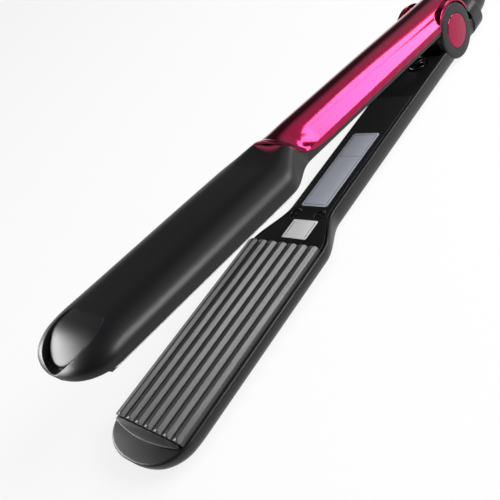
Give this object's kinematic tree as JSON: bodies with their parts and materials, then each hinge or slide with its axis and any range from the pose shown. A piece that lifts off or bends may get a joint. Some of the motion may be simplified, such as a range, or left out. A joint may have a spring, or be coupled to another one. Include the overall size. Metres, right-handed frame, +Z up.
{
  "type": "hair crimper",
  "caption": "Hand-held hair crimper: two long sprung arms on a cross hinge with corrugated heated plates, scooped noses and a swivel cord collar.",
  "frame": {"origin": "centre of the overall box at its bottom; the lower arm lies on the land of its barrel", "axes": "+X from the noses towards the cord inlet, along the lower arm; +Y across the arms, along the hinge pin; +Z up, from the lower arm to the upper arm"},
  "size_m": [0.2811, 0.0404, 0.0598],
  "materials": {
    "black_plastic": "satin black moulded plastic",
    "magenta_metallic": "metallised magenta gloss",
    "black_steel": "blackened screw steel",
    "coated_plate": "dark grey satin heat coating",
    "ceramic_heater": "heater bar in a steel sleeve",
    "mica_pad": "dull insulating pad",
    "pin_steel": "ground steel",
    "nylon": "natural nylon",
    "spring_steel": "blackened spring steel",
    "switch_plastic": "black switch plastic",
    "lens_red": "red indicator lens",
    "board_laminate": "green circuit laminate"
  },
  "bodies": {
    "lower_arm": {"lower_housing": "black_plastic", "lower_inner_cover": "black_plastic", "lower_plate": "coated_plate", "lower_plate_carrier": "black_plastic", "lower_heater": "ceramic_heater", "lower_insulator": "mica_pad", "lower_cover_screws": "black_steel", "hinge_pin": "pin_steel", "hinge_washer_near": "nylon", "hinge_washer_far": "nylon", "hinge_cap_near": "magenta_metallic", "hinge_cap_far": "magenta_metallic", "opening_spring": "spring_steel", "circuit_board": "board_laminate"},
    "upper_arm": {"upper_housing": "black_plastic", "upper_cover": "magenta_metallic", "upper_inner_cover": "black_plastic", "upper_plate": "coated_plate", "upper_plate_carrier": "black_plastic", "upper_heater": "ceramic_heater", "upper_insulator": "mica_pad", "upper_cover_screws": "black_steel", "hinge_bush": "nylon", "switch_body": "switch_plastic", "indicator_lens": "lens_red"},
    "switch_slider": {"switch_slider": "switch_plastic"},
    "cord_swivel": {"cord_swivel": "black_plastic"}
  },
  "joints": [
    {"name": "arm_hinge", "type": "hinge", "parent": "lower_arm", "child": "upper_arm", "pos_m": [0.0966, 0, 0.0132], "axis": [0, 1, 0], "range_deg": [-8.8, 0], "stiffness_Nm_per_rad": 0.6, "springref_deg": 60.16, "deforming": ["opening_spring"]},
    {"name": "power_switch", "type": "slide", "parent": "upper_arm", "child": "switch_slider", "axis": [-0.9882, 0, 0.153], "range_m": [0, 0.004]},
    {"name": "cord_swivel_turn", "type": "hinge", "parent": "lower_arm", "child": "cord_swivel", "pos_m": [0.13, 0, 0.00825], "axis": [1, 0, 0], "continuous": true}
  ]
}
